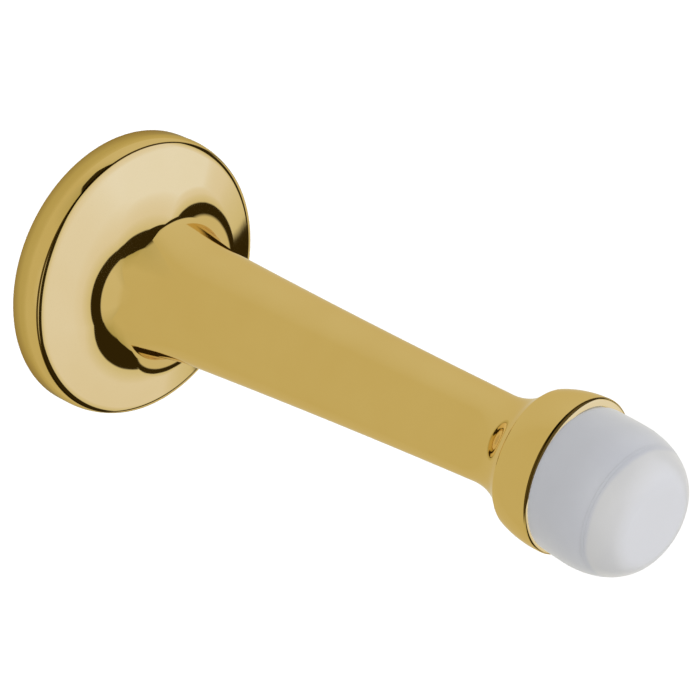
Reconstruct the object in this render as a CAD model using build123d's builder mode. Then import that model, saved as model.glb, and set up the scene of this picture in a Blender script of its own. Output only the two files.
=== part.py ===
"""Wall bumper door stop: a turned brass post on a round rose, with a soft rubber tip.

The wall is the plane Y = 0 and the post stands out from it along -Y, with +Z up. Stations are
distances from the wall. Each section is drawn in the XY plane, with the radius along X, and
turned about Y.
"""

import os
from math import asin, cos, degrees, radians, sin, tan

from build123d import *

# Rose: the round base that bears on the wall
rose_radius = 20.65
side_length = 2.3  # straight side next to the wall
belly_radius = 5.5
arris_radius = 0.25  # crisp line round the rose
brow_radius = 2.9
edge_turns = (25.0, 50.0)  # turn from the side at which belly, arris and brow hand over
face_rise = 15.7  # degrees that the front rises towards the stem
back_chamfer = 0.2

# Flare: the hollow sweep from the rose's front into the stem, as three tangent arcs
flare_foot_radius = 10.4
flare_middle_radius = 3.1
flare_throat_radius = 32.6
flare_changes = (45.0, 18.0)  # slopes from the axis at which one arc hands over to the next

# Stem: a very shallow hollow taper
neck_station = 68.9  # where the taper ends and the neck begins
neck_radius = 5.91
root_taper = 3.6
neck_taper = 2.0

# Collar: the cup that holds the tip
neck_hollow_radius = 9.6
collar_slope = 41.8  # back of the collar, from the axis
collar_back_run = 1.15  # straight stretch of that back
shoulder_radius = 0.8
crown_slope = 20.0  # slope at which the shoulder hands over to the crown
crown_radius = 14.6
crown_close = 1.5  # slope at which the crown, past its widest ring, meets the rim
rim_radius = 0.4
rim_face = 0.6  # flat ring round the mouth

# Socket in the collar, and the blind bore behind its seat
socket_depth = 3.6
shank_clearance = 0.1
bore_end_gap = 0.5

# Tip: a rubber plug with a barrel head
tip_radius = 9.5
tip_length = 12.75  # head, from back to front
tip_back_offset = 13.45  # from the neck to the head's back, before it leans
tip_back_radius = 0.5
tip_flat_radius = 4.7  # nearly flat front
tip_nose_length = 7.8  # rounding from the widest ring to the front
tip_swell_radius = 80.0  # barrel side behind the widest ring
tip_clearance = 0.2
tip_seat_gap = 0.12  # between the head and the collar's rim
tip_pivot_offset = 9.6  # from the neck to the point about which the soft head leans
tip_lift = 0.35
tip_nod = 2.75  # degrees down, as in the photograph
tip_turn = 5.9  # degrees towards -X, as in the photograph
plug_stand = 0.9  # plug beyond the mouth, inside the head
shank_radius = 3.5
shank_length = 9.0
shank_nose = 0.6
bead_radius = 0.5  # retaining bead round the shank
bead_setback = 5.5  # from the seat

# Back of the rose: a bearing land round a shallow recess, and the tapped fixing hole
land_width = 3.2
recess_depth = 1.6
recess_fillet = 0.6
hub_radius = 7.0
hub_setback = 0.3
thread_radius = 3.0  # M6, at the crests of the screw
thread_depth = 15.0
thread_lead_in = 0.7
drill_point = 118.0

os.makedirs("parts", exist_ok=True)

# Front of the rose: the belly, arris and brow end where the rising face starts
turns = [radians(turn) for turn in (0, *edge_turns, 90 - face_rise)]
edge_radii = (belly_radius, arris_radius, brow_radius)
face_start_station = side_length + sum(
    radius * (sin(end) - sin(start)) for radius, start, end in zip(edge_radii, turns, turns[1:])
)
face_start_radius = rose_radius - sum(
    radius * (cos(start) - cos(end)) for radius, start, end in zip(edge_radii, turns, turns[1:])
)

# The flare runs from the face's slope to the root taper, and its root lies on the stem
slopes = [radians(slope) for slope in (90 - face_rise, *flare_changes, root_taper)]
flare_radii = (flare_foot_radius, flare_middle_radius, flare_throat_radius)
flare_length = sum(
    radius * (sin(start) - sin(end)) for radius, start, end in zip(flare_radii, slopes, slopes[1:])
)
flare_gain = sum(
    radius * (cos(end) - cos(start)) for radius, start, end in zip(flare_radii, slopes, slopes[1:])
)
root_slope, neck_slope = radians(root_taper), radians(neck_taper)
stem_gain = (cos(neck_slope) - cos(root_slope)) / (sin(root_slope) - sin(neck_slope))
rise = tan(radians(face_rise))
root_station = (
    face_start_station
    + flare_length
    + (face_start_radius - flare_gain - neck_radius - stem_gain * neck_station) * rise
) / (1 - stem_gain * rise)
stem_curve_radius = (neck_station - root_station) / (sin(root_slope) - sin(neck_slope))
root_radius = neck_radius + stem_gain * (neck_station - root_station)
flare_radius, flare_station = root_radius + flare_gain, root_station - flare_length

with BuildPart() as stop_body:
    with BuildSketch():
        with BuildLine():
            side = Line((rose_radius, -back_chamfer), (rose_radius, -side_length))
            belly = JernArc(side @ 1, (0, -1), belly_radius, -edge_turns[0])
            arris = JernArc(belly @ 1, belly % 1, arris_radius, edge_turns[0] - edge_turns[1])
            brow = JernArc(arris @ 1, arris % 1, brow_radius, edge_turns[1] + face_rise - 90)
            face = Line(brow @ 1, (flare_radius, -flare_station))
            foot = JernArc(face @ 1, brow % 1, flare_foot_radius, 90 - face_rise - flare_changes[0])
            middle = JernArc(
                foot @ 1, foot % 1, flare_middle_radius, flare_changes[0] - flare_changes[1]
            )
            throat = JernArc(
                middle @ 1, middle % 1, flare_throat_radius, flare_changes[1] - root_taper
            )
            stem = JernArc(throat @ 1, throat % 1, stem_curve_radius, root_taper - neck_taper)
            neck = JernArc(stem @ 1, stem % 1, neck_hollow_radius, neck_taper + collar_slope)
            back = Line(neck @ 1, neck @ 1 + (neck % 1) * collar_back_run)
            shoulder = JernArc(back @ 1, back % 1, shoulder_radius, crown_slope - collar_slope)
            crown = JernArc(shoulder @ 1, shoulder % 1, crown_radius, -crown_slope - crown_close)
            rim = JernArc(crown @ 1, crown % 1, rim_radius, crown_close - 90)
            mouth = rim @ 1 - (rim_face, 0)
            Polyline(rim @ 1, (0, mouth.Y), (0, 0), (rose_radius - back_chamfer, 0), side @ 0)
        make_face()
    revolve(axis=Axis.Y)

    socket_radius, mouth_station = mouth.X, -mouth.Y
    seat_station = mouth_station - socket_depth
    bore_radius = shank_radius + shank_clearance
    bore_depth = shank_length + bore_end_gap

    # Socket, blind bore and the groove that the tip's bead snaps into
    with BuildSketch():
        with Locations((0, -mouth_station)):
            Rectangle(socket_radius, socket_depth, align=(Align.MIN, Align.MIN))
        with Locations((0, -seat_station)):
            Rectangle(bore_radius, bore_depth, align=(Align.MIN, Align.MIN))
        with Locations((shank_radius, bead_setback - seat_station)):
            Circle(bead_radius + shank_clearance)
    revolve(axis=Axis.Y, mode=Mode.SUBTRACT)

    # Shallow recess behind the rose, so that only the outer land bears on the wall
    with BuildSketch():
        with Locations((hub_radius, 0)):
            Rectangle(
                rose_radius - land_width - hub_radius, recess_depth, align=(Align.MIN, Align.MAX)
            )
        fillet(vertices().group_by(Axis.Y)[0], recess_fillet)
        Rectangle(hub_radius, hub_setback, align=(Align.MIN, Align.MAX))
    revolve(axis=Axis.Y, mode=Mode.SUBTRACT)

    # Tapped hole for the fixing screw, with a drill point at its end
    with Locations(Plane(origin=(0, -hub_setback, 0), x_dir=(1, 0, 0), z_dir=(0, 1, 0))):
        CounterSinkHole(thread_radius, thread_radius + thread_lead_in, thread_depth, 90)
        point_length = thread_radius / tan(radians(drill_point / 2))
        with Locations((0, 0, -thread_depth)):
            Cone(
                0, thread_radius, point_length, align=(Align.CENTER, Align.CENTER, Align.MAX),
                mode=Mode.SUBTRACT,
            )

stop_body.part.label = "stop_body"

# The head leans about a point inside the socket, so its stations count from there
head_plane = Plane(
    Location((0, -neck_station - tip_pivot_offset, tip_lift))
    * Location((0, 0, 0), (0, 0, -tip_turn))
    * Location((0, 0, 0), (tip_nod, 0, 0))
)
plug_radius = socket_radius - tip_clearance
back_end = tip_back_offset - tip_pivot_offset
front = back_end + tip_length
swell_length = front - tip_nose_length - back_end - tip_back_radius
swell_turn = degrees(asin(swell_length / tip_swell_radius))

with BuildPart() as rubber_tip:
    # Barrel head
    with BuildSketch(head_plane):
        with BuildLine():
            nose = EllipticalCenterArc(
                (tip_flat_radius, tip_nose_length - front),
                tip_radius - tip_flat_radius,
                tip_nose_length,
                arc_size=-90,
            )
            swell = JernArc(nose @ 0, (0, 1), tip_swell_radius, swell_turn)
            heel = JernArc(swell @ 1, swell % 1, tip_back_radius, 90 - swell_turn)
            Polyline(heel @ 1, (0, (heel @ 1).Y), (0, -front), nose @ 1)
        make_face()
    revolve(axis=Axis(head_plane.origin, head_plane.y_dir))

    # The leaning head gives way to the collar's rim
    with BuildSketch():
        with BuildLine():
            outer = rim.arc_center.X + rim_radius + tip_seat_gap
            lip = JernArc(
                (rim.arc_center.X, -mouth_station - tip_seat_gap),
                (1, 0),
                rim_radius + tip_seat_gap,
                90,
            )
            Polyline(
                lip @ 1, (outer, -seat_station), (plug_radius, -seat_station),
                (plug_radius, -mouth_station - tip_seat_gap), lip @ 0,
            )
        make_face()
    revolve(axis=Axis.Y, mode=Mode.SUBTRACT)

    # Plug and shank, straight in the socket
    with BuildSketch():
        with Locations((0, -seat_station)):
            Rectangle(
                plug_radius, socket_depth + plug_stand, align=(Align.MIN, Align.MAX)
            )
            Rectangle(shank_radius, shank_length, align=(Align.MIN, Align.MIN))
        chamfer(vertices().group_by(Axis.Y)[-1].sort_by(Axis.X)[-1], shank_nose)
        with Locations((shank_radius, bead_setback - seat_station)):
            Circle(bead_radius)
    revolve(axis=Axis.Y)

rubber_tip.part.label = "rubber_tip"

for piece in (stop_body, rubber_tip):
    export_step(piece.part, f"parts/{piece.part.label}.step")
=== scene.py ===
import math

import bpy
from mathutils import Matrix, Vector


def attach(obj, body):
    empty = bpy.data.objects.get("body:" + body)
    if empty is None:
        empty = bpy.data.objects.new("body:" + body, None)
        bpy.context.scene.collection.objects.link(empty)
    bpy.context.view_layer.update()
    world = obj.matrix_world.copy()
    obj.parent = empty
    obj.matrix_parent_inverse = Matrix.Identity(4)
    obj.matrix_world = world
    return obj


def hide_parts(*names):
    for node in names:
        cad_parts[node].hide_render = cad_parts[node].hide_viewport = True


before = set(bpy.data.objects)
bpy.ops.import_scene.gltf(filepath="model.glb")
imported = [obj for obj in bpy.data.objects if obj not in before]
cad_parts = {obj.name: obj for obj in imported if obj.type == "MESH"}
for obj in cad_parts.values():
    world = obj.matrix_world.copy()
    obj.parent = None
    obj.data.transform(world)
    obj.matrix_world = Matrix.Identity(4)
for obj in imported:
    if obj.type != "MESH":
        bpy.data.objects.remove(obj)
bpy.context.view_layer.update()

bl_info = {
    "name": "Wall bumper door stop",
    "version": (1, 0, 0),
    "blender": (4, 5, 0),
    "location": "View3D > Sidebar > Door stop",
    "description": "Dresses a turned brass wall door stop and its rubber tip",
    "category": "Object",
}

MM = 0.001
WALL_FACE = 0.0
COLOUR_A, COLOUR_B, MIXED_COLOUR = 6, 7, 2  # sockets of a colour mix, whose names aren't its own
SEGMENTS_ROUND = 256
FINEST_TURN = math.radians(1.2)  # most that a turned outline may turn between two rings
LONGEST_STEP = 2.5 * MM
SHORTEST_STEP = 0.04 * MM
ON_AXIS = 1e-9  # radius under which a ring is one point
PATCH_LOW, PATCH_HIGH = 0.3, 0.7  # range of a noise in which most of its values lie
BLOOM_LOW, BLOOM_HIGH = 0.2, 0.8  # wider range, over which the rubber's bloom changes its colour
DARK_BAND_LOW, DARK_BAND_HIGH = -2.5 * MM, 1.5 * MM  # height over which the painted dark reflection on the rim dies out
DARK_BAND_SPREAD = 0.1  # cosine from its widest side at which that painted dark reflection is down to a line
SHADE_RING_REACH = 5.0  # width of the ring of painted shade behind the painted lit face, in half widths of its edge
TORN_SIZE, TORN_HEIGHT = 0.15 * MM, 0.01 * MM  # tearing that a tap leaves in brass
HAZE_SPREAD, TORN_SPREAD, BLOOM_SPREAD = 0.3, 0.3, 0.15  # shares by which roughness changes

# Sizes of the turned post: key, name, description and millimetres
POST_SIZES = (
    ("rose_radius", "Rose radius", "Radius of the round base", 20.65),
    ("back_chamfer", "Back chamfer", "Chamfer of the base next to the wall", 0.2),
    ("side_length", "Side length", "Straight side of the base next to the wall", 2.3),
    ("belly_radius", "Belly radius", "Curve of the base's side in front of its straight part", 5.5),
    ("arris_radius", "Arris radius", "Rounding of the crisp line round the base", 0.25),
    ("brow_radius", "Brow radius", "Curve between the arris and the base's front", 2.9),
    ("foot_radius", "Flare foot radius", "First arc of the hollow flare", 10.4),
    ("middle_radius", "Flare middle radius", "Second arc of the hollow flare", 3.1),
    ("throat_radius", "Flare throat radius", "Last arc of the hollow flare", 32.6),
    ("neck_station", "Neck station", "Distance from the wall at which the taper ends", 68.9),
    ("neck_radius", "Neck radius", "Radius of the post where the taper ends", 5.91),
    ("neck_hollow", "Neck hollow", "Arc from the neck into the collar's back", 9.6),
    ("collar_back", "Collar back", "Straight stretch of the collar's back", 1.15),
    ("shoulder_radius", "Shoulder radius", "Rounding between the collar's back and its crown", 0.8),
    ("crown_radius", "Crown radius", "Curve of the collar's outside", 14.6),
    ("rim_radius", "Rim radius", "Rounding of the collar's rim", 0.4),
    ("rim_face", "Rim face", "Flat ring round the mouth", 0.6),
    ("socket_depth", "Socket depth", "Depth of the collar's socket", 3.6),
    ("bore_radius", "Bore radius", "Radius of the blind bore behind the socket", 3.6),
    ("bore_depth", "Bore depth", "Depth of the blind bore", 9.5),
    ("groove_radius", "Groove radius", "Section radius of the groove for the tip's bead", 0.6),
    ("groove_setback", "Groove setback", "From the socket's seat to the groove's middle", 5.5),
    ("groove_ring", "Groove ring", "Distance of the groove's middle from the axis", 3.5),
    ("land_width", "Land width", "Ring that bears on the wall", 3.2),
    ("recess_depth", "Recess depth", "Depth of the hollow in the base's back", 1.6),
    ("recess_fillet", "Recess fillet", "Rounding at the bottom of that hollow", 0.6),
    ("hub_radius", "Hub radius", "Radius of the hub round the tapped hole", 7.0),
    ("hub_setback", "Hub setback", "Gap between the hub and the wall", 0.3),
    ("hole_radius", "Hole radius", "Radius of the tapped hole", 3.0),
    ("hole_depth", "Hole depth", "Depth of the tapped hole", 15.0),
    ("hole_lead", "Hole lead-in", "Chamfer at the mouth of the tapped hole", 0.7),
)
THREAD_SIZES = (
    ("pitch", "Pitch", "Distance from one ridge to the next", 1.0),
    ("ridge_height", "Ridge height", "How far the ridge stands in from the hole's wall", 0.54),
    ("ridge_base", "Ridge base", "Width of the ridge on the wall", 0.86),
    ("ridge_crest", "Ridge crest", "Width of the ridge's flat top", 0.14),
    ("margin", "Margin", "Plain wall left at each end of the hole", 0.9),
)

# Colours (as sRGB hex), shares and lengths (in millimetres) of the brass's finish
BRASS_COLOURS = (
    ("colour", "Brass", "Colour of the buffed brass, as sRGB hex", "#EBD191"),
    ("deep_colour", "Deeper brass", "Colour where the lacquer lies thicker", "#E9CE8C"),
    ("cut_colour", "Cut brass", "Colour of the brass as the tool left it", "#DCC48C"),
    ("edge_colour", "Edge", "Tint of the mirror at a flat angle, as sRGB hex", "#F6EBD0"),
    # Painted dark reflection: a dark line painted along the arris and on the collar's rim
    ("line_colour", "Painted dark reflection",
     "Colour of the painted dark reflection along the crisp edges", "#5A4518"),
)
BRASS_SHARES = (
    ("roughness", "Roughness", "Roughness of the buffed brass", 0.045),
    ("cut_roughness", "Cut roughness", "Roughness of the brass as the tool left it", 0.3),
    ("lacquer", "Lacquer", "Share of the clear lacquer's own gloss", 0.05),
)
BRASS_LENGTHS = (
    ("hair_spacing", "Hair spacing",
     "Spacing of the buffing hairs, drawn about twice as coarse as they are", 0.3),
    ("hair_height", "Hair height", "Height of the buffing hairs", 0.00025),
    ("waver_size", "Waver size", "Size of the waver in the mirror", 3.5),
    ("waver_height", "Waver height", "Height of the waver in the mirror", 0.008),
    ("cloud_size", "Cloud size", "Size of the patches of thicker lacquer", 9.0),
    ("feed_spacing", "Feed spacing",
     "Spacing of the facing tool's marks, drawn about twice as coarse as they are", 0.4),
    ("feed_height", "Feed height", "Height of the facing tool's marks", 0.012),
    # Where the dark line of painted reflection lies, along the arris and on the collar's rim
    ("line_width", "Painted dark reflection's width",
     "Width of the painted dark reflection along the crisp edges", 0.2),
    ("line_radius", "Painted dark reflection's radius", "The dark reflection is painted only outside this radius", 9.7),
    ("arris_station", "Arris station", "From the wall to the crisp line round the base", 4.66),
    # Where the painted dark reflection on the collar's rim lies
    ("rim_station", "Rim station",
     "From the wall to where dark reflection is painted on the collar's rim", 82.0),
    ("band_start", "Band start",
     "Station less radius at which the painted dark reflection on the rim begins", 72.05),
    ("band_width", "Band width", "Widest part of the painted dark reflection on the rim", 0.85),
    ("cut_depth", "Cut depth", "The tool's finish is kept up to this far from the wall", 1.8),
    ("cut_radius", "Cut radius", "The tool's finish is kept inside this radius at the back", 20.3),
    ("bore_reach", "Bore reach", "The tool's finish is kept inside this radius everywhere", 4.4),
)

# The same of the rubber's finish
RUBBER_COLOURS = (
    ("colour", "Rubber", "Colour of the rubber, as sRGB hex", "#C6C8CF"),
    ("deep_colour", "Deeper rubber", "Colour between the patches of bloom", "#C1C3CA"),
    # Painted shade: a greyer ring just behind the front
    ("ring_colour", "Ring", "Colour just behind the painted lit face", "#BFC1C8"),
    # Painted light: the front is painted paler where the light from the front falls on it
    ("face_colour", "Painted lit face", "Colour of the front, painted paler by its light", "#CBCBCC"),
)
RUBBER_SHARES = (
    ("dust", "Dust", "Share of the pale dust that shows at flat angles", 0.6),
    ("roughness", "Roughness", "Roughness of the moulded rubber", 0.32),
    ("depth_share", "Translucence", "Share of the light that travels inside", 0.15),
)
RUBBER_LENGTHS = (
    ("face_start", "Face start", "From the head's pivot to the painted lit face", 14.1),
    ("face_soft", "Face edge", "Half width of the painted lit face's edge", 0.25),
    ("face_ragged", "Ragged edge", "How far the bloom shifts that edge", 0.6),
    ("ring_start", "Ring line", "From the head's pivot to the mould's line", 13.3),
    ("ring_width", "Ring line's width",
     "Width of the mould's line, drawn about twice as wide as it is", 0.35),
    ("ring_height", "Ring line's height", "Height of the mould's line", 0.12),
    ("grain_size", "Grain size",
     "Size of the mould's grain, drawn about three times as coarse as it is", 0.3),
    ("grain_height", "Grain height", "Height of the mould's grain", 0.002),
    ("bloom_size", "Bloom size", "Size of the patches of bloom", 6.2),
    ("bloom_height", "Bloom height", "Height of the soft unevenness", 0.05),
    ("light_depth", "Light depth", "How far light travels inside", 1.2),
)

# Tones that the brass shows of its surroundings, as sRGB hex
STAGE_COLOURS = (
    ("panel", "Panel", "What the brass shows of the soft panels, as sRGB hex", "#E5D5B0"),
    ("panel_near", "Panel's near part",
     "What the brass shows of the panels next to the flags", "#DCC696"),
    ("panel_edge", "Panel's edge", "What the brass shows of the panels' edge", "#CFB777"),
    ("flag", "Flag", "What the brass shows of the black flags", "#2E2005"),
    ("warm_side", "Warm sides",
     "What the brass shows of the side walls behind the flags", "#CBB06C"),
    ("warm_cap", "Warm ceiling",
     "What the brass shows of ceiling and ground behind the flags", "#AC934A"),
    ("wall_near", "Wall next to the rose",
     "What the brass shows of the shaded wall next to it", "#92773A"),
    ("wall_far", "Wall past the shade",
     "What the brass shows of the wall where the shade ends", "#B4984D"),
    ("warm", "Warm room", "What the brass shows of the room behind the flags", "#C3A65C"),
)

# Slopes of the post's outline in degrees from its axis, as its arcs hand over to each other
EDGE_TURNS = (25.0, 50.0)
FACE_RISE = 15.7
FLARE_CHANGES = (45.0, 18.0)
ROOT_TAPER, NECK_TAPER = 3.6, 2.0
COLLAR_SLOPE, CROWN_SLOPE, CROWN_CLOSE = 41.8, 20.0, 1.5
DRILL_POINT = 118.0

# Room round the stop, of which only its gloss shows anything: four walls that run from behind the
# stop to well before it. Places are shares of ROOM_SCALE; "ahead" counts from the stop to the
# front. Each wall glows warm at the back, carries a black flag and glows pale before it.
ROOM_SCALE = 100.0
ROOM_REACH = 8.0
ROOM_TURN, ROOM_TILT = 0.935, 0.076
ROOM_LEFT, ROOM_RIGHT, ROOM_BOTTOM, ROOM_TOP = -1.0, 0.1, -0.708, 0.538
WALL_STRIPS = 32
FLAG_SOFT_EDGE = 0.012
GLOW_NEAR = 0.3  # share of a wall's glow in which it falls off least
PANEL_NEAR, PANEL_FAR = 0.3, 1.6  # how far past a flag the panel has its next tones
CORNER_BLEND = 0.25  # share of a wall over which its warm tone runs on into the next wall's
# Each wall's two corners, how far its glow reaches back from the flag, and then, for shares of the
# way between the corners, start and end of the flag ahead
ROOM_WALLS = (
    ((ROOM_LEFT, ROOM_BOTTOM), (ROOM_LEFT, ROOM_TOP), "side", 2.4,
     ((0, 0.03, 0.31), (0.55, 0.06, 0.32), (1, 0.09, 0.34))),
    ((ROOM_LEFT, ROOM_TOP), (ROOM_RIGHT, ROOM_TOP), "cap", 0.5,
     ((0, 0.09, 0.34), (0.25, 0.02, 0.3), (0.55, -0.12, 0.3), (0.9, -0.21, 0.31), (1, -0.1, 0.3))),
    ((ROOM_RIGHT, ROOM_BOTTOM), (ROOM_RIGHT, ROOM_TOP), "side", 0.3,
     ((0, 0.14, 0.31), (0.5, 0.16, 0.3), (1, 0.12, 0.3))),
    ((ROOM_LEFT, ROOM_BOTTOM), (ROOM_RIGHT, ROOM_BOTTOM), "cap", 0.5,
     ((0, 0.02, 0.31), (0.4, -0.02, 0.34), (0.8, -0.066, 0.346), (1, -0.03, 0.34))),
)


def length_properties(rows):
    """Length properties from rows of key, name, description and millimetres."""
    return {
        key: bpy.props.FloatProperty(
            name=name, description=text, default=size * MM, precision=6, unit="LENGTH"
        )
        for key, name, text, size in rows
    }


def colour_properties(rows):
    """Colour properties from rows of key, name, description and sRGB hex."""
    return {
        key: bpy.props.StringProperty(name=name, description=text, default=code)
        for key, name, text, code in rows
    }


def share_properties(rows):
    """Properties from 0 to 1 from rows of key, name, description and value."""
    return {
        key: bpy.props.FloatProperty(
            name=name, description=text, default=share, min=0, max=1, subtype="FACTOR"
        )
        for key, name, text, share in rows
    }


def srgb(code):
    """Linear RGBA of an sRGB hex colour."""
    channels = [int(code[i:i + 2], 16) / 255 for i in (1, 3, 5)]
    linear = [c / 12.92 if c <= 0.04045 else ((c + 0.055) / 1.055) ** 2.4 for c in channels]
    return (*linear, 1.0)


def add_node(tree, kind, links=None, inputs=None, **settings):
    """Adds one node, sets its settings and inputs, and links its inputs to other outputs."""
    node = tree.nodes.new(kind)
    for name, value in settings.items():
        setattr(node, name, value)
    for name, value in (inputs or {}).items():
        node.inputs[name].default_value = value
    for name, source in (links or {}).items():
        tree.links.new(source, node.inputs[name])
    return node


def empty_material(name):
    """A material whose node tree is empty."""
    material = bpy.data.materials.new(name)
    material.use_nodes = True
    material.node_tree.nodes.clear()
    return material


def add_object(name, vertices, faces, material):
    """A mesh object in the scene from vertices and faces, with one material."""
    mesh = bpy.data.meshes.new(name)
    mesh.from_pydata(vertices, [], faces)
    mesh.materials.append(material)
    thing = bpy.data.objects.new(name, mesh)
    bpy.context.scene.collection.objects.link(thing)
    return thing


class TurnedOutline:
    """Half section of a turned piece, as stations from the wall, radii and headings.

    A heading is the angle of travel from the axis; the piece lies on the right of the travel.
    """

    def __init__(self, station, radius):
        self.points = [(station, radius)]
        self.headings = []

    def line(self, station, radius):
        """A straight run to a point."""
        last_station, last_radius = self.points[-1]
        heading = math.atan2(radius - last_radius, station - last_station)
        length = math.hypot(radius - last_radius, station - last_station)
        steps = max(1, math.ceil(length / LONGEST_STEP))
        for step in range(1, steps + 1):
            share = step / steps
            self.points.append((
                last_station + (station - last_station) * share,
                last_radius + (radius - last_radius) * share,
            ))
            self.headings.append((heading, heading))

    def bend(self, size, start, end):
        """An arc of that radius from one heading in degrees to another."""
        start, end = math.radians(start), math.radians(end)
        station, radius = self.points[-1]
        side = 1 if end > start else -1
        turn, length = abs(end - start), abs(end - start) * size
        steps = max(
            math.ceil(length / LONGEST_STEP),
            min(math.ceil(turn / FINEST_TURN), math.ceil(length / SHORTEST_STEP)),
        )
        last = start
        for step in range(1, steps + 1):
            heading = start + (end - start) * step / steps
            self.points.append((
                station + side * size * (math.sin(heading) - math.sin(start)),
                radius - side * size * (math.cos(heading) - math.cos(start)),
            ))
            self.headings.append((last, heading))
            last = heading


def turn_piece(name, outline, material):
    """Turns an outline about the Y axis into a closed mesh with exact surface normals."""
    angles = [2 * math.pi * step / SEGMENTS_ROUND for step in range(SEGMENTS_ROUND)]
    circle = [(math.cos(angle), math.sin(angle)) for angle in angles]
    vertices, rings = [], []
    for station, radius in outline.points:
        rings.append(len(vertices))
        on_axis = radius < ON_AXIS
        vertices += [
            (radius * across, -station, radius * up)
            for across, up in circle[:1 if on_axis else None]
        ]
    rings.append(len(vertices))
    faces, normals = [], []
    for index, headings in enumerate(outline.headings):
        first, second = rings[index], rings[index + 1]
        first_single = second - first == 1
        second_single = rings[index + 2] - second == 1
        levels = [(math.cos(heading), math.sin(heading)) for heading in headings]
        for step, here in enumerate(circle):
            after = (step + 1) % SEGMENTS_ROUND
            there = circle[after]
            corners = [
                (first + (0 if first_single else step), levels[0], here),
                (first + (0 if first_single else after), levels[0], there),
                (second + (0 if second_single else after), levels[1], there),
                (second + (0 if second_single else step), levels[1], here),
            ]
            if first_single:
                del corners[1]
            elif second_single:
                del corners[2]
            faces.append([corner for corner, _, _ in corners])
            normals += [
                (outward * across, along, outward * up)
                for _, (outward, along), (across, up) in corners
            ]
    piece = add_object(name, vertices, faces, material)
    piece.data.shade_smooth()
    piece.data.normals_split_custom_set(normals)
    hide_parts("stop_body")
    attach(piece, "root")
    return piece


def post_outlines(s):
    """Half sections of the rose with its flare, and of the stem with its collar.

    The two meet in a plane at the flare's end, where their surfaces run on into each other.
    """
    floor = s.hub_setback + s.hole_depth
    outline = TurnedOutline(floor + s.hole_radius / math.tan(math.radians(DRILL_POINT / 2)), 0.0)
    outline.line(floor, s.hole_radius)
    outline.line(s.hub_setback + s.hole_lead, s.hole_radius)
    outline.line(s.hub_setback, s.hole_radius + s.hole_lead)
    outline.line(s.hub_setback, s.hub_radius)
    outline.line(s.recess_depth - s.recess_fillet, s.hub_radius)
    outline.bend(s.recess_fillet, 0, 90)
    outline.line(s.recess_depth, s.rose_radius - s.land_width - s.recess_fillet)
    outline.bend(s.recess_fillet, 90, 180)
    outline.line(WALL_FACE, s.rose_radius - s.land_width)
    outline.line(WALL_FACE, s.rose_radius - s.back_chamfer)
    outline.line(s.back_chamfer, s.rose_radius)

    # Front of the rose
    outline.line(s.side_length, s.rose_radius)
    outline.bend(s.belly_radius, 0, -EDGE_TURNS[0])
    outline.bend(s.arris_radius, -EDGE_TURNS[0], -EDGE_TURNS[1])
    outline.bend(s.brow_radius, -EDGE_TURNS[1], FACE_RISE - 90)

    # The rising face runs on until the flare's three arcs end on the stem
    slopes = [math.radians(slope) for slope in (90 - FACE_RISE, *FLARE_CHANGES, ROOT_TAPER)]
    arcs = list(zip((s.foot_radius, s.middle_radius, s.throat_radius), slopes, slopes[1:]))
    length = sum(size * (math.sin(start) - math.sin(end)) for size, start, end in arcs)
    gain = sum(size * (math.cos(end) - math.cos(start)) for size, start, end in arcs)
    root, neck = math.radians(ROOT_TAPER), math.radians(NECK_TAPER)
    stem_gain = (math.cos(neck) - math.cos(root)) / (math.sin(root) - math.sin(neck))
    rise = math.tan(math.radians(FACE_RISE))
    face_station, face_radius = outline.points[-1]
    root_station = (
        face_station + length
        + (face_radius - gain - s.neck_radius - stem_gain * s.neck_station) * rise
    ) / (1 - stem_gain * rise)
    root_radius = s.neck_radius + stem_gain * (s.neck_station - root_station)
    outline.line(root_station - length, root_radius + gain)
    for size, start, end in arcs:
        outline.bend(size, -math.degrees(start), -math.degrees(end))
    rose = outline
    rose.line(root_station, 0.0)

    # Stem, neck and collar
    outline = TurnedOutline(root_station, 0.0)
    outline.line(root_station, root_radius)
    stem_radius = (s.neck_station - root_station) / (math.sin(root) - math.sin(neck))
    outline.bend(stem_radius, -ROOT_TAPER, -NECK_TAPER)
    outline.bend(s.neck_hollow, -NECK_TAPER, COLLAR_SLOPE)
    station, radius = outline.points[-1]
    slope = math.radians(COLLAR_SLOPE)
    outline.line(
        station + s.collar_back * math.cos(slope), radius + s.collar_back * math.sin(slope)
    )
    outline.bend(s.shoulder_radius, COLLAR_SLOPE, CROWN_SLOPE)
    outline.bend(s.crown_radius, CROWN_SLOPE, -CROWN_CLOSE)
    outline.bend(s.rim_radius, -CROWN_CLOSE, -90)

    # Socket, blind bore and the groove for the tip's bead
    mouth, radius = outline.points[-1]
    seat = mouth - s.socket_depth
    outline.line(mouth, radius - s.rim_face)
    outline.line(seat, radius - s.rim_face)
    outline.line(seat, s.bore_radius)
    rise = math.asin((s.bore_radius - s.groove_ring) / s.groove_radius)
    groove = seat - s.groove_setback
    outline.line(groove + s.groove_radius * math.cos(rise), s.bore_radius)
    outline.bend(s.groove_radius, 90 + math.degrees(rise), 270 - math.degrees(rise))
    outline.line(seat - s.bore_depth, s.bore_radius)
    outline.line(seat - s.bore_depth, 0.0)
    return rose, outline


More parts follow.
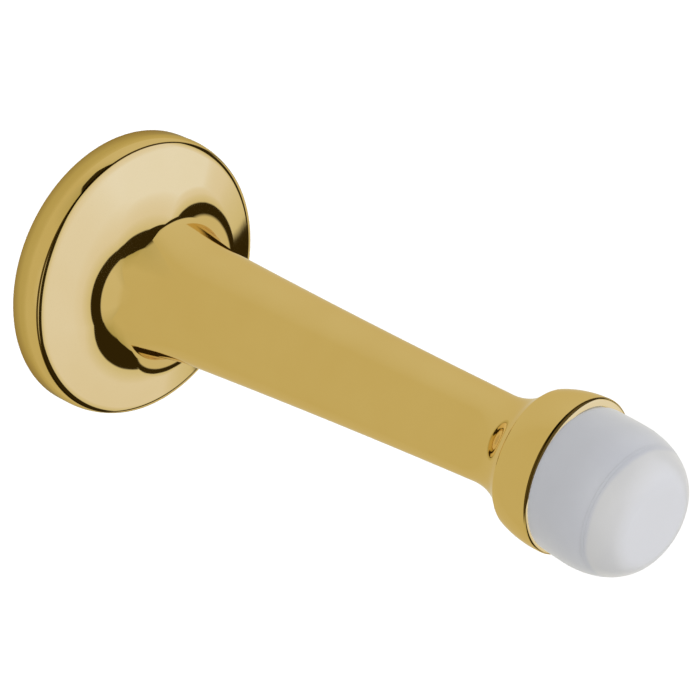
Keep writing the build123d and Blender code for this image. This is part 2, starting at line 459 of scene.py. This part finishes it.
def buffed_brass(settings):
    """Free-cutting brass, turned, then buffed and lacquered on every side that shows.

    The buffed sides give a sharp golden mirror that wavers a little, with hair-fine rings from the
    wheel. The back, the hole and the socket stay as the tool left them: paler, duller and ringed.
    """
    material = empty_material("BuffedLacqueredBrass")
    tree = material.node_tree
    coords = add_node(tree, "ShaderNodeTexCoord")
    place = coords.outputs["Object"]
    axes = add_node(tree, "ShaderNodeSeparateXYZ", {"Vector": place})
    flat = add_node(tree, "ShaderNodeVectorMath", {0: place}, {1: (1, 0, 1)}, operation="MULTIPLY")
    radius = add_node(
        tree, "ShaderNodeVectorMath", {0: flat.outputs["Vector"]}, operation="LENGTH"
    ).outputs["Value"]

    # Left by the tool: everything behind the land inside the chamfer, and everything in the bores
    behind = add_node(
        tree, "ShaderNodeMath", {0: axes.outputs["Y"]}, {1: -settings.cut_depth},
        operation="GREATER_THAN",
    )
    inside = add_node(
        tree, "ShaderNodeMath", {0: radius}, {1: settings.cut_radius}, operation="LESS_THAN"
    )
    back = add_node(
        tree, "ShaderNodeMath", {0: behind.outputs[0], 1: inside.outputs[0]}, operation="MULTIPLY"
    )
    bore = add_node(
        tree, "ShaderNodeMath", {0: radius}, {1: settings.bore_reach}, operation="LESS_THAN"
    )
    cut = add_node(
        tree, "ShaderNodeMath", {0: back.outputs[0], 1: bore.outputs[0]}, operation="MAXIMUM"
    ).outputs[0]

    # Rings of the buffing wheel: one value for each station and radius, so they run round the post
    ringed = add_node(
        tree, "ShaderNodeCombineXYZ", {"X": axes.outputs["Y"], "Y": radius}
    ).outputs["Vector"]
    hair = add_node(
        tree, "ShaderNodeTexNoise", {"Vector": ringed},
        {"Scale": 1 / settings.hair_spacing, "Detail": 1.0}, noise_dimensions="2D",
    )
    # Slight waver that hand buffing leaves in the mirror
    waver = add_node(
        tree, "ShaderNodeTexNoise", {"Vector": place},
        {"Scale": 1 / settings.waver_size, "Detail": 1.0, "Roughness": 0.4},
    )
    # Feed marks of the facing tool
    feed = add_node(
        tree, "ShaderNodeTexWave", {"Vector": place},
        {"Scale": 2 * math.pi / (20 * settings.feed_spacing), "Distortion": 0.0},
        wave_type="RINGS", rings_direction="Y",
    )
    cloud = add_node(
        tree, "ShaderNodeTexNoise", {"Vector": place},
        {"Scale": 1 / settings.cloud_size, "Detail": 2.0},
    )

    ramp = add_node(tree, "ShaderNodeValToRGB", {"Fac": cloud.outputs["Fac"]})
    ramp.color_ramp.elements[0].position = PATCH_LOW
    ramp.color_ramp.elements[0].color = srgb(settings.deep_colour)
    ramp.color_ramp.elements[1].position = PATCH_HIGH
    ramp.color_ramp.elements[1].color = srgb(settings.colour)
    tint = add_node(
        tree, "ShaderNodeMix", {"Factor": cut, COLOUR_A: ramp.outputs["Color"]},
        {COLOUR_B: srgb(settings.cut_colour)}, data_type="RGBA",
    ).outputs[MIXED_COLOUR]
    # Painted dark reflection along the crisp line round the base, where the arris mirrors a dark
    # band
    line = add_node(
        tree, "ShaderNodeMath", {0: axes.outputs["Y"]},
        {1: -settings.arris_station, 2: settings.line_width / 2}, operation="COMPARE",
    )
    outside = add_node(
        tree, "ShaderNodeMath", {0: radius}, {1: settings.line_radius}, operation="GREATER_THAN"
    )
    arris = add_node(
        tree, "ShaderNodeMath", {0: line.outputs[0], 1: outside.outputs[0]}, operation="MULTIPLY"
    )
    # The same painted dark reflection along the collar's rim, where it mirrors a dark band. It
    # widens towards one side and ends below it. Over the rim, station less radius grows all the way
    # from the crown to the mouth.
    inward = add_node(
        tree, "ShaderNodeMath", {0: axes.outputs["Y"], 1: radius}, operation="ADD"
    ).outputs[0]
    side = add_node(
        tree, "ShaderNodeVectorMath", {0: flat.outputs["Vector"]}, operation="NORMALIZE"
    )
    towards = add_node(
        tree, "ShaderNodeVectorMath", {0: side.outputs["Vector"]},
        {1: (math.cos(settings.dark_band_turn), 0, math.sin(settings.dark_band_turn))},
        operation="DOT_PRODUCT",
    )
    band_end = add_node(
        tree, "ShaderNodeMapRange", {"Value": towards.outputs["Value"]},
        {"From Min": DARK_BAND_SPREAD, "From Max": 1.0, "To Min": settings.line_width / 2,
         "To Max": settings.band_width},
    )
    lower = add_node(
        tree, "ShaderNodeMapRange", {"Value": axes.outputs["Z"]},
        {"From Min": DARK_BAND_LOW, "From Max": DARK_BAND_HIGH},
    )
    width = add_node(
        tree, "ShaderNodeMath",
        {0: band_end.outputs["Result"], 1: lower.outputs["Result"]}, operation="MULTIPLY",
    )
    past = add_node(
        tree, "ShaderNodeMath", {1: inward}, {0: -settings.band_start}, operation="SUBTRACT"
    )
    within = add_node(
        tree, "ShaderNodeMath", {0: past.outputs[0], 1: width.outputs[0]}, operation="LESS_THAN"
    )
    begun = add_node(
        tree, "ShaderNodeMath", {0: past.outputs[0]}, {1: 0.0}, operation="GREATER_THAN"
    )
    on_rim = add_node(
        tree, "ShaderNodeMath", {0: axes.outputs["Y"]}, {1: -settings.rim_station},
        operation="LESS_THAN",
    )
    band = add_node(
        tree, "ShaderNodeMath", {0: within.outputs[0], 1: begun.outputs[0]}, operation="MULTIPLY"
    )
    band = add_node(
        tree, "ShaderNodeMath", {0: band.outputs[0], 1: on_rim.outputs[0]}, operation="MULTIPLY"
    )
    dark = add_node(
        tree, "ShaderNodeMath", {0: arris.outputs[0], 1: band.outputs[0]}, operation="MAXIMUM"
    ).outputs[0]
    # Mixes the painted dark reflection into the brass's colour
    tint = add_node(
        tree, "ShaderNodeMix", {"Factor": dark, COLOUR_A: tint},
        {COLOUR_B: srgb(settings.line_colour)}, data_type="RGBA",
    ).outputs[MIXED_COLOUR]
    hazy = add_node(
        tree, "ShaderNodeMapRange", {"Value": cloud.outputs["Fac"]},
        {"From Min": PATCH_LOW, "From Max": PATCH_HIGH,
         "To Min": settings.roughness * (1 - HAZE_SPREAD),
         "To Max": settings.roughness * (1 + HAZE_SPREAD)},
    )
    rough = add_node(
        tree, "ShaderNodeMix", {"Factor": cut, "A": hazy.outputs["Result"]},
        {"B": settings.cut_roughness}, data_type="FLOAT",
    )
    waved = add_node(
        tree, "ShaderNodeBump", {"Height": waver.outputs["Fac"]},
        {"Strength": 1.0, "Distance": settings.waver_height},
    )
    haired = add_node(
        tree, "ShaderNodeBump", {"Height": hair.outputs["Fac"], "Normal": waved.outputs["Normal"]},
        {"Strength": 1.0, "Distance": settings.hair_height},
    )
    marked = add_node(
        tree, "ShaderNodeBump",
        {"Height": feed.outputs["Fac"], "Strength": cut, "Normal": haired.outputs["Normal"]},
        {"Distance": settings.feed_height},
    )
    shader = add_node(
        tree, "ShaderNodeBsdfPrincipled",
        {"Base Color": tint, "Roughness": rough.outputs["Result"],
         "Normal": marked.outputs["Normal"]},
        {"Metallic": 1.0, "Specular Tint": srgb(settings.edge_colour),
         "Coat Weight": settings.lacquer, "Coat Roughness": 0.03, "Coat IOR": 1.5},
    )
    add_node(tree, "ShaderNodeOutputMaterial", {"Surface": shader.outputs["BSDF"]})
    return material


def tapped_brass(settings):
    """Brass cut by a tap: bright but torn across the ridge, so it glints in small dashes."""
    material = empty_material("TappedBrass")
    tree = material.node_tree
    coords = add_node(tree, "ShaderNodeTexCoord")
    grain = add_node(
        tree, "ShaderNodeTexNoise", {"Vector": coords.outputs["Object"]},
        {"Scale": 1 / TORN_SIZE, "Detail": 3.0},
    )
    rough = add_node(
        tree, "ShaderNodeMapRange", {"Value": grain.outputs["Fac"]},
        {"To Min": settings.cut_roughness * (1 - TORN_SPREAD),
         "To Max": settings.cut_roughness * (1 + TORN_SPREAD)},
    )
    torn = add_node(
        tree, "ShaderNodeBump", {"Height": grain.outputs["Fac"]},
        {"Strength": 1.0, "Distance": TORN_HEIGHT},
    )
    shader = add_node(
        tree, "ShaderNodeBsdfPrincipled",
        {"Roughness": rough.outputs["Result"], "Normal": torn.outputs["Normal"]},
        {"Base Color": srgb(settings.cut_colour), "Metallic": 1.0},
    )
    add_node(tree, "ShaderNodeOutputMaterial", {"Surface": shader.outputs["BSDF"]})
    return material


def moulded_rubber(settings):
    """Grey thermoplastic rubber, injection moulded in a polished tool, with a paler worn face.

    It is semi-gloss, and its soft edge lets light creep in. Fine mould grain breaks up the gloss,
    and a faint bloom changes it from place to place. Painted light makes the front paler, up to a
    ring of painted shade just behind it.
    """
    material = empty_material("MouldedGreyRubber")
    tree = material.node_tree
    coords = add_node(tree, "ShaderNodeTexCoord")
    place = coords.outputs["Object"]
    grain = add_node(
        tree, "ShaderNodeTexNoise", {"Vector": place},
        {"Scale": 1 / settings.grain_size, "Detail": 2.0},
    )
    bloom = add_node(
        tree, "ShaderNodeTexNoise", {"Vector": place},
        {"Scale": 1 / settings.bloom_size, "Detail": 3.0, "Roughness": 0.55},
    )
    # Distance from the pivot along the leaning head, and the rings round it
    pivot = add_node(
        tree, "ShaderNodeVectorMath", {0: place}, {1: settings.head_pivot}, operation="SUBTRACT"
    )
    reach = add_node(
        tree, "ShaderNodeVectorMath", {0: pivot.outputs["Vector"]}, {1: head_axis(settings)},
        operation="DOT_PRODUCT",
    ).outputs["Value"]
    ragged = add_node(
        tree, "ShaderNodeMath", {0: bloom.outputs["Fac"], 2: reach}, {1: settings.face_ragged},
        operation="MULTIPLY_ADD",
    ).outputs[0]
    # Painted light: the front is painted paler up to a ragged edge
    face = add_node(
        tree, "ShaderNodeMapRange", {"Value": ragged},
        {"From Min": settings.face_start - settings.face_soft,
         "From Max": settings.face_start + settings.face_soft},
        interpolation_type="SMOOTHSTEP",
    ).outputs["Result"]
    # Painted shade: a greyer ring just behind the front's edge
    edge = add_node(
        tree, "ShaderNodeMapRange", {"Value": ragged},
        {"From Min": settings.face_start - SHADE_RING_REACH * settings.face_soft,
         "From Max": settings.face_start - settings.face_soft},
        interpolation_type="SMOOTHSTEP",
    ).outputs["Result"]
    bloomed = add_node(tree, "ShaderNodeValToRGB", {"Fac": bloom.outputs["Fac"]})
    bloomed.color_ramp.elements[0].position = BLOOM_LOW
    bloomed.color_ramp.elements[0].color = srgb(settings.deep_colour)
    bloomed.color_ramp.elements[1].position = BLOOM_HIGH
    bloomed.color_ramp.elements[1].color = srgb(settings.colour)
    shaded = add_node(
        tree, "ShaderNodeMix", {"Factor": edge, COLOUR_A: bloomed.outputs["Color"]},
        {COLOUR_B: srgb(settings.ring_colour)}, data_type="RGBA",
    ).outputs[MIXED_COLOUR]
    # Mixes in the painted light on the front
    lit_front = add_node(
        tree, "ShaderNodeMix", {"Factor": face, COLOUR_A: shaded},
        {COLOUR_B: srgb(settings.face_colour)}, data_type="RGBA",
    ).outputs[MIXED_COLOUR]
    rough = add_node(
        tree, "ShaderNodeMapRange", {"Value": bloom.outputs["Fac"]},
        {"From Min": PATCH_LOW, "From Max": PATCH_HIGH,
         "To Min": settings.roughness * (1 - BLOOM_SPREAD),
         "To Max": settings.roughness * (1 + BLOOM_SPREAD)},
    )
    ring = add_node(
        tree, "ShaderNodeMath", {0: reach}, {1: settings.ring_start, 2: settings.ring_width / 2},
        operation="COMPARE",
    )
    raised = add_node(
        tree, "ShaderNodeBump", {"Height": ring.outputs[0]},
        {"Strength": 1.0, "Distance": settings.ring_height},
    )
    rounded = add_node(
        tree, "ShaderNodeBump",
        {"Height": bloom.outputs["Fac"], "Normal": raised.outputs["Normal"]},
        {"Strength": 1.0, "Distance": settings.bloom_height},
    )
    grained = add_node(
        tree, "ShaderNodeBump",
        {"Height": grain.outputs["Fac"], "Normal": rounded.outputs["Normal"]},
        {"Strength": 1.0, "Distance": settings.grain_height},
    )
    shader = add_node(
        tree, "ShaderNodeBsdfPrincipled",
        {"Base Color": lit_front, "Roughness": rough.outputs["Result"],
         "Normal": grained.outputs["Normal"]},
        {"IOR": 1.52, "Subsurface Weight": settings.depth_share,
         "Subsurface Radius": (1.0, 1.0, 1.0), "Subsurface Scale": settings.light_depth,
         "Sheen Weight": settings.dust, "Sheen Roughness": 0.45},
    )
    add_node(tree, "ShaderNodeOutputMaterial", {"Surface": shader.outputs["BSDF"]})
    return material


def head_axis(settings):
    """Direction in which the soft head leans out from the wall."""
    return (
        Matrix.Rotation(-settings.head_turn, 3, "Z") @ Matrix.Rotation(settings.head_nod, 3, "X")
        @ Vector((0, -1, 0))
    )


class BrassSettings(bpy.types.PropertyGroup):
    """Colours and finish of the brass."""

    __annotations__ = {
        **colour_properties(BRASS_COLOURS),
        **share_properties(BRASS_SHARES),
        **length_properties(BRASS_LENGTHS),
    }
    # Side to which the painted dark reflection on the rim widens
    dark_band_turn: bpy.props.FloatProperty(
        name="Band side",
        description="Side to which the painted dark reflection on the rim widens, as an angle from +X to +Z",
        default=math.radians(138), subtype="ANGLE"
    )


class RubberSettings(bpy.types.PropertyGroup):
    """Colours and finish of the rubber."""

    __annotations__ = {
        **colour_properties(RUBBER_COLOURS),
        **share_properties(RUBBER_SHARES),
        **length_properties(RUBBER_LENGTHS),
    }
    head_pivot: bpy.props.FloatVectorProperty(
        name="Head pivot", description="Point about which the head leans", size=3,
        default=(0, -78.5 * MM, 0.35 * MM), precision=5, unit="LENGTH"
    )
    head_turn: bpy.props.FloatProperty(
        name="Head turn", description="Sideways lean of the head", default=math.radians(5.9),
        subtype="ANGLE"
    )
    head_nod: bpy.props.FloatProperty(
        name="Head nod", description="Downward lean of the head", default=math.radians(2.75),
        subtype="ANGLE"
    )


class PostSettings(bpy.types.PropertyGroup):
    """Sizes of the turned post, the same as those of the solid that it dresses."""

    __annotations__ = length_properties(POST_SIZES)


class ThreadSettings(bpy.types.PropertyGroup):
    """Sizes of the screw thread in the post's back."""

    __annotations__ = length_properties(THREAD_SIZES)


class StageSettings(bpy.types.PropertyGroup):
    """Camera, light and floor."""

    __annotations__ = colour_properties(STAGE_COLOURS)
    focal: bpy.props.FloatProperty(
        name="Focal length", description="Focal length on a 36 mm sensor, in millimetres",
        default=114.4, unit="CAMERA"
    )
    azimuth: bpy.props.FloatProperty(
        name="Azimuth", description="Turn of the camera about the stop, from straight in front",
        default=math.radians(-46.247), subtype="ANGLE"
    )
    elevation: bpy.props.FloatProperty(
        name="Elevation", description="Height angle of the camera", default=math.radians(28.047),
        subtype="ANGLE"
    )
    aim: bpy.props.FloatVectorProperty(
        name="Aim", description="Point that the camera's axis passes, before its offset", size=3,
        default=(0, -47.5 * MM, 0), precision=4, unit="LENGTH"
    )
    offset: bpy.props.FloatVectorProperty(
        name="Offset", description="Camera's offset to its right and up", size=2,
        default=(-2.34 * MM, 3.945 * MM), precision=5, unit="LENGTH"
    )
    wall_rings: bpy.props.FloatVectorProperty(
        name="Shaded wall", description="Radii between which the shade on the wall fades", size=4,
        default=(20.7 * MM, 20.9 * MM, 22.2 * MM, 25.5 * MM), precision=4, unit="LENGTH"
    )
    front_light: bpy.props.FloatProperty(
        name="Light from the front", description="Strength of the soft light from before the stop",
        default=1.73
    )
    side_light: bpy.props.FloatProperty(
        name="Light from the sides",
        description="Strength of the soft light from the sides and from behind", default=0.61
    )
    floor_level: bpy.props.FloatProperty(
        name="Floor level", description="Height of the floor", default=-0.4, unit="LENGTH"
    )
    floor_size: bpy.props.FloatProperty(
        name="Floor size", description="Half width of the floor", default=3.0, unit="LENGTH"
    )
    distance: bpy.props.FloatProperty(
        name="Distance", description="From the camera to the middle of the stop",
        default=289.1 * MM, precision=4, unit="LENGTH"
    )


class DOORSTOP_OT_post(bpy.types.Operator):
    """Turns the brass post with a fine enough mesh for its mirror finish"""

    bl_idname = "doorstop.post"
    bl_label = "Brass post"

    def execute(self, context):
        scene = context.scene
        material = buffed_brass(scene.doorstop_brass)
        rose_outline, stem_outline = post_outlines(scene.doorstop_post)
        turn_piece("brass_rose", rose_outline, material)
        stem = turn_piece("brass_stem", stem_outline, material)
        # Its polished face in the photograph mirrors the room and not the stem
        stem.visible_glossy = False
        return {"FINISHED"}


class DOORSTOP_OT_thread(bpy.types.Operator):
    """Winds the screw thread's ridge round the wall of the tapped hole"""

    bl_idname = "doorstop.thread"
    bl_label = "Screw thread"

    steps_a_turn = 48
    root_sink = 0.02 * MM  # keeps the ridge's foot inside the wall
    fade_turns = 0.6  # the ridge rises and dies out over this share of a turn
    least_height, least_width = 0.03, 0.35  # shares of its height and base at its very ends

    def execute(self, context):
        scene = context.scene
        s, post = scene.doorstop_thread, scene.doorstop_post
        start = post.hub_setback + post.hole_lead * 0.5 + s.ridge_base / 2
        length = post.hub_setback + post.hole_depth - s.margin - start
        turns = length / s.pitch
        count = round(turns * self.steps_a_turn)
        vertices, faces = [], []
        for step in range(count + 1):
            share = step / count
            angle = 2 * math.pi * turns * share
            fade = min(1.0, min(share, 1 - share) * turns / self.fade_turns)
            foot = post.hole_radius + self.root_sink
            crest = post.hole_radius - s.ridge_height * max(fade, self.least_height)
            half = s.ridge_base * (self.least_width + (1 - self.least_width) * fade) / 2
            half_crest = s.ridge_crest / 2
            for radius, shift in (
                (foot, -half), (crest, -half_crest), (crest, half_crest), (foot, half)
            ):
                station = start + length * share + shift
                vertices.append((radius * math.cos(angle), -station, radius * math.sin(angle)))
            if step:
                last, here = 4 * (step - 1), 4 * step
                faces += [
                    (last + side, last + (side + 1) % 4, here + (side + 1) % 4, here + side)
                    for side in range(4)
                ]
        faces += [(3, 2, 1, 0), tuple(4 * count + side for side in range(4))]
        thread = add_object("fixing_thread", vertices, faces, tapped_brass(scene.doorstop_brass))
        thread.data.shade_smooth()
        thread.data.set_sharp_from_angle(angle=math.radians(25))
        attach(thread, "root")
        return {"FINISHED"}


class DOORSTOP_OT_tip(bpy.types.Operator):
    """Gives the moulded tip its rubber"""

    bl_idname = "doorstop.tip"
    bl_label = "Rubber tip"

    def execute(self, context):
        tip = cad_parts["rubber_tip"]
        rubber = moulded_rubber(context.scene.doorstop_rubber)
        for slot in tip.material_slots:
            slot.material = rubber
        # The collar's polish in the photograph mirrors the room and not the tip
        tip.visible_glossy = False
        return {"FINISHED"}


class DOORSTOP_OT_stage(bpy.types.Operator):
    """Sets up the camera, the light and the pale floor"""

    bl_idname = "doorstop.stage"
    bl_label = "Stage"

    card_steps = 96
    card_behind = 0.3 * MM

    def execute(self, context):
        scene = context.scene
        settings = scene.doorstop_stage
        self.camera(scene, settings)
        self.world(scene, settings)
        # The brass tints what it mirrors, so each glow is its tone over the brass's own colour
        brass = srgb(scene.doorstop_brass.colour)[:3]
        shown = {
            key: [light / own for light, own in zip(srgb(getattr(settings, key))[:3], brass)]
            for key, *_ in STAGE_COLOURS
        }
        self.room(shown)
        self.wall_card(settings, shown)
        self.floor(settings)
        scene.view_settings.view_transform = "Standard"
        return {"FINISHED"}

    def camera(self, scene, settings):
        """Looks at the stop from the photograph's side."""
        turn, lift = settings.azimuth, settings.elevation
        back = Vector((
            math.sin(turn) * math.cos(lift), -math.cos(turn) * math.cos(lift), math.sin(lift)
        ))
        right = Vector((math.cos(turn), math.sin(turn), 0))
        up = back.cross(right)
        data = bpy.data.cameras.new("Camera")
        data.lens, data.sensor_width = settings.focal, 36
        data.clip_start, data.clip_end = 0.01, 20
        camera = bpy.data.objects.new("Camera", data)
        camera.location = (
            Vector(settings.aim) + settings.offset[0] * right + settings.offset[1] * up
            + settings.distance * back
        )
        camera.rotation_mode = "QUATERNION"
        camera.rotation_quaternion = (-back).to_track_quat("-Z", "Y")
        scene.collection.objects.link(camera)
        scene.camera = camera

    def world(self, scene, settings):
        """White where it is seen, and a soft light from all round that grows towards the front."""
        world = bpy.data.worlds.new("StudioWorld")
        world.use_nodes = True
        tree = world.node_tree
        tree.nodes.clear()
        coords = add_node(tree, "ShaderNodeTexCoord")
        axes = add_node(tree, "ShaderNodeSeparateXYZ", {"Vector": coords.outputs["Generated"]})
        level = add_node(
            tree, "ShaderNodeMapRange", {"Value": axes.outputs["Y"]},
            {"From Min": -1.0, "From Max": 0.0, "To Min": settings.front_light,
             "To Max": settings.side_light},
        )
        soft = add_node(
            tree, "ShaderNodeBackground", {"Strength": level.outputs["Result"]},
            {"Color": (1.0, 1.0, 1.0, 1.0)},
        )
        white = add_node(
            tree, "ShaderNodeBackground", inputs={"Color": (1.0, 1.0, 1.0, 1.0), "Strength": 1.0}
        )
        path = add_node(tree, "ShaderNodeLightPath")
        mirrored = add_node(
            tree, "ShaderNodeMath",
            {0: path.outputs["Is Glossy Ray"], 1: path.outputs["Is Transmission Ray"]},
            operation="MAXIMUM",
        )
        seen = add_node(
            tree, "ShaderNodeMath", {0: path.outputs["Is Camera Ray"], 1: mirrored.outputs[0]},
            operation="MAXIMUM",
        )
        shown = add_node(
            tree, "ShaderNodeMixShader",
            {0: seen.outputs[0], 1: soft.outputs["Background"], 2: white.outputs["Background"]},
        )
        add_node(tree, "ShaderNodeOutputWorld", {"Surface": shown.outputs["Shader"]})
        scene.world = world

    def room(self, shown):
        """Soft panels, black flags and a warm room that only the gloss of the stop shows."""
        vertices, faces, glows = [], [], []
        for first, second, kind, glow_reach, stops in ROOM_WALLS:
            for strip in range(WALL_STRIPS + 1):
                share = strip / WALL_STRIPS
                start, end = self.flag_edges(stops, share)
                # Near a corner the warm tones of the two walls run on into each other
                own = 0.5 + 0.5 * min(1, min(share, 1 - share) / CORNER_BLEND)
                other = "cap" if kind == "side" else "side"
                near_glow = [
                    here * own + there * (1 - own)
                    for here, there in zip(shown["warm_" + kind], shown["warm_" + other])
                ]
                levels = (
                    (-ROOM_REACH, shown["warm"]), (start - glow_reach, shown["warm"]),
                    (start - glow_reach * GLOW_NEAR, [
                        (near + far) / 2 for near, far in zip(near_glow, shown["warm"])
                    ] if kind == "cap" else near_glow),
                    (start - FLAG_SOFT_EDGE, near_glow), (start + FLAG_SOFT_EDGE, shown["flag"]),
                    (end - FLAG_SOFT_EDGE, shown["flag"]),
                    (end + FLAG_SOFT_EDGE, shown["panel_edge"]),
                    (end + PANEL_NEAR, shown["panel_near"]), (end + PANEL_FAR, shown["panel"]),
                    (ROOM_REACH, shown["panel"]),
                )
                x, z = (
                    low + (high - low) * share for low, high in zip(first, second)
                )
                vertices += [(x, -ahead, z) for ahead, _ in levels]
                glows += [glow for _, glow in levels]
                if strip:
                    here, last = len(vertices) - len(levels), len(vertices) - 2 * len(levels)
                    faces += [
                        (last + level, here + level, here + level + 1, last + level + 1)
                        for level in range(len(levels) - 1)
                    ]
        corners = [
            (x, z) for x in (ROOM_LEFT, ROOM_RIGHT) for z in (ROOM_BOTTOM, ROOM_TOP)
        ]
        for ahead, glow in ((-ROOM_REACH, shown["warm"]), (ROOM_REACH, shown["panel"])):
            start = len(vertices)
            vertices += [(x, -ahead, z) for x, z in corners]
            glows += [glow] * 4
            faces.append((start, start + 1, start + 3, start + 2))

        room = self.glowing("StudioRoom", vertices, faces, glows)
        room.matrix_world = (
            Matrix.Rotation(ROOM_TURN, 4, "Z") @ Matrix.Rotation(ROOM_TILT, 4, "X")
            @ Matrix.Scale(ROOM_SCALE, 4)
        )
        self.only_mirrored(room)

    def only_mirrored(self, thing):
        """Shows a stage object in gloss alone."""
        thing.visible_camera = False
        thing.visible_diffuse = False
        thing.visible_transmission = False
        thing.visible_volume_scatter = False
        thing.visible_shadow = False

    def wall_card(self, settings, shown):
        """Ring of shaded wall round the rose, which its side mirrors next to the wall."""
        shades = [shown[key] for key in ("wall_near", "wall_near", "wall_far", "warm")]
        vertices, glows = [], []
        for radius, shade in zip(settings.wall_rings, shades):
            for step in range(self.card_steps):
                angle = 2 * math.pi * step / self.card_steps
                vertices.append((
                    radius * math.cos(angle), self.card_behind, radius * math.sin(angle)
                ))
                glows.append(shade)
        faces = []
        for ring in range(len(shades) - 1):
            for step in range(self.card_steps):
                here = ring * self.card_steps + step
                after = ring * self.card_steps + (step + 1) % self.card_steps
                faces.append((here, after, after + self.card_steps, here + self.card_steps))
        self.only_mirrored(self.glowing("ShadedWall", vertices, faces, glows))

    def glowing(self, name, vertices, faces, glows):
        """An object that glows with its own light at each vertex."""
        material = empty_material(name)
        tree = material.node_tree
        painted = add_node(tree, "ShaderNodeAttribute", attribute_name="Glow")
        glow = add_node(tree, "ShaderNodeEmission", {"Color": painted.outputs["Color"]})
        add_node(tree, "ShaderNodeOutputMaterial", {"Surface": glow.outputs["Emission"]})
        thing = add_object(name, vertices, faces, material)
        layer = thing.data.attributes.new("Glow", "FLOAT_COLOR", "POINT")
        for point, light in zip(layer.data, glows):
            point.color = (*light, 1.0)
        return thing

    def flag_edges(self, stops, share):
        """Where the flag starts and ends at a share of the way along its wall."""
        for (low, *before), (high, *after) in zip(stops, stops[1:]):
            if share <= high:
                blend = (share - low) / (high - low)
                return [here + (there - here) * blend for here, there in zip(before, after)]

    def floor(self, settings):
        """Pale painted floor; its own glow, which only the camera sees, makes it white."""
        material = empty_material("PalePaintedFloor")
        tree = material.node_tree
        paint = add_node(
            tree, "ShaderNodeBsdfDiffuse", inputs={"Color": srgb("#F2F2F2"), "Roughness": 0.5}
        )
        glow = add_node(
            tree, "ShaderNodeEmission", inputs={"Color": (1.0, 1.0, 1.0, 1.0), "Strength": 0.3}
        )
        path = add_node(tree, "ShaderNodeLightPath")
        seen = add_node(
            tree, "ShaderNodeMixShader",
            {0: path.outputs["Is Camera Ray"], 2: glow.outputs["Emission"]},
        )
        both = add_node(
            tree, "ShaderNodeAddShader", {0: paint.outputs["BSDF"], 1: seen.outputs["Shader"]}
        )
        add_node(tree, "ShaderNodeOutputMaterial", {"Surface": both.outputs["Shader"]})
        size, level = settings.floor_size, settings.floor_level
        corners = [
            (x * size, y * size, level) for x, y in ((-1, -1), (1, -1), (1, 1), (-1, 1))
        ]
        floor = add_object("Floor", corners, [(0, 1, 2, 3)], material)
        floor.visible_glossy = False


class DOORSTOP_PT_panel(bpy.types.Panel):
    """Lists the steps and their settings"""

    bl_idname = "DOORSTOP_PT_panel"
    bl_label = "Wall bumper door stop"
    bl_space_type = "VIEW_3D"
    bl_region_type = "UI"
    bl_category = "Door stop"

    def draw(self, context):
        scene = context.scene
        for operator in OPERATORS:
            self.layout.operator(operator.bl_idname)
        for title, settings in (
            ("Brass", scene.doorstop_brass), ("Rubber", scene.doorstop_rubber),
            ("Post", scene.doorstop_post), ("Thread", scene.doorstop_thread),
            ("Stage", scene.doorstop_stage),
        ):
            box = self.layout.box()
            box.label(text=title)
            for key in settings.bl_rna.properties.keys():
                if key not in {"rna_type", "name"}:
                    box.prop(settings, key)


SETTINGS = {
    "doorstop_brass": BrassSettings,
    "doorstop_rubber": RubberSettings,
    "doorstop_post": PostSettings,
    "doorstop_thread": ThreadSettings,
    "doorstop_stage": StageSettings,
}
OPERATORS = (DOORSTOP_OT_stage, DOORSTOP_OT_post, DOORSTOP_OT_thread, DOORSTOP_OT_tip)


def register():
    for cls in (*SETTINGS.values(), *OPERATORS, DOORSTOP_PT_panel):
        bpy.utils.register_class(cls)
    for name, cls in SETTINGS.items():
        setattr(bpy.types.Scene, name, bpy.props.PointerProperty(type=cls))


def unregister():
    for name in SETTINGS:
        delattr(bpy.types.Scene, name)
    for cls in reversed((*SETTINGS.values(), *OPERATORS, DOORSTOP_PT_panel)):
        bpy.utils.unregister_class(cls)


def main():
    register()
    bpy.ops.doorstop.stage()
    bpy.ops.doorstop.post()
    bpy.ops.doorstop.thread()
    bpy.ops.doorstop.tip()


if __name__ == "__main__":
    main()
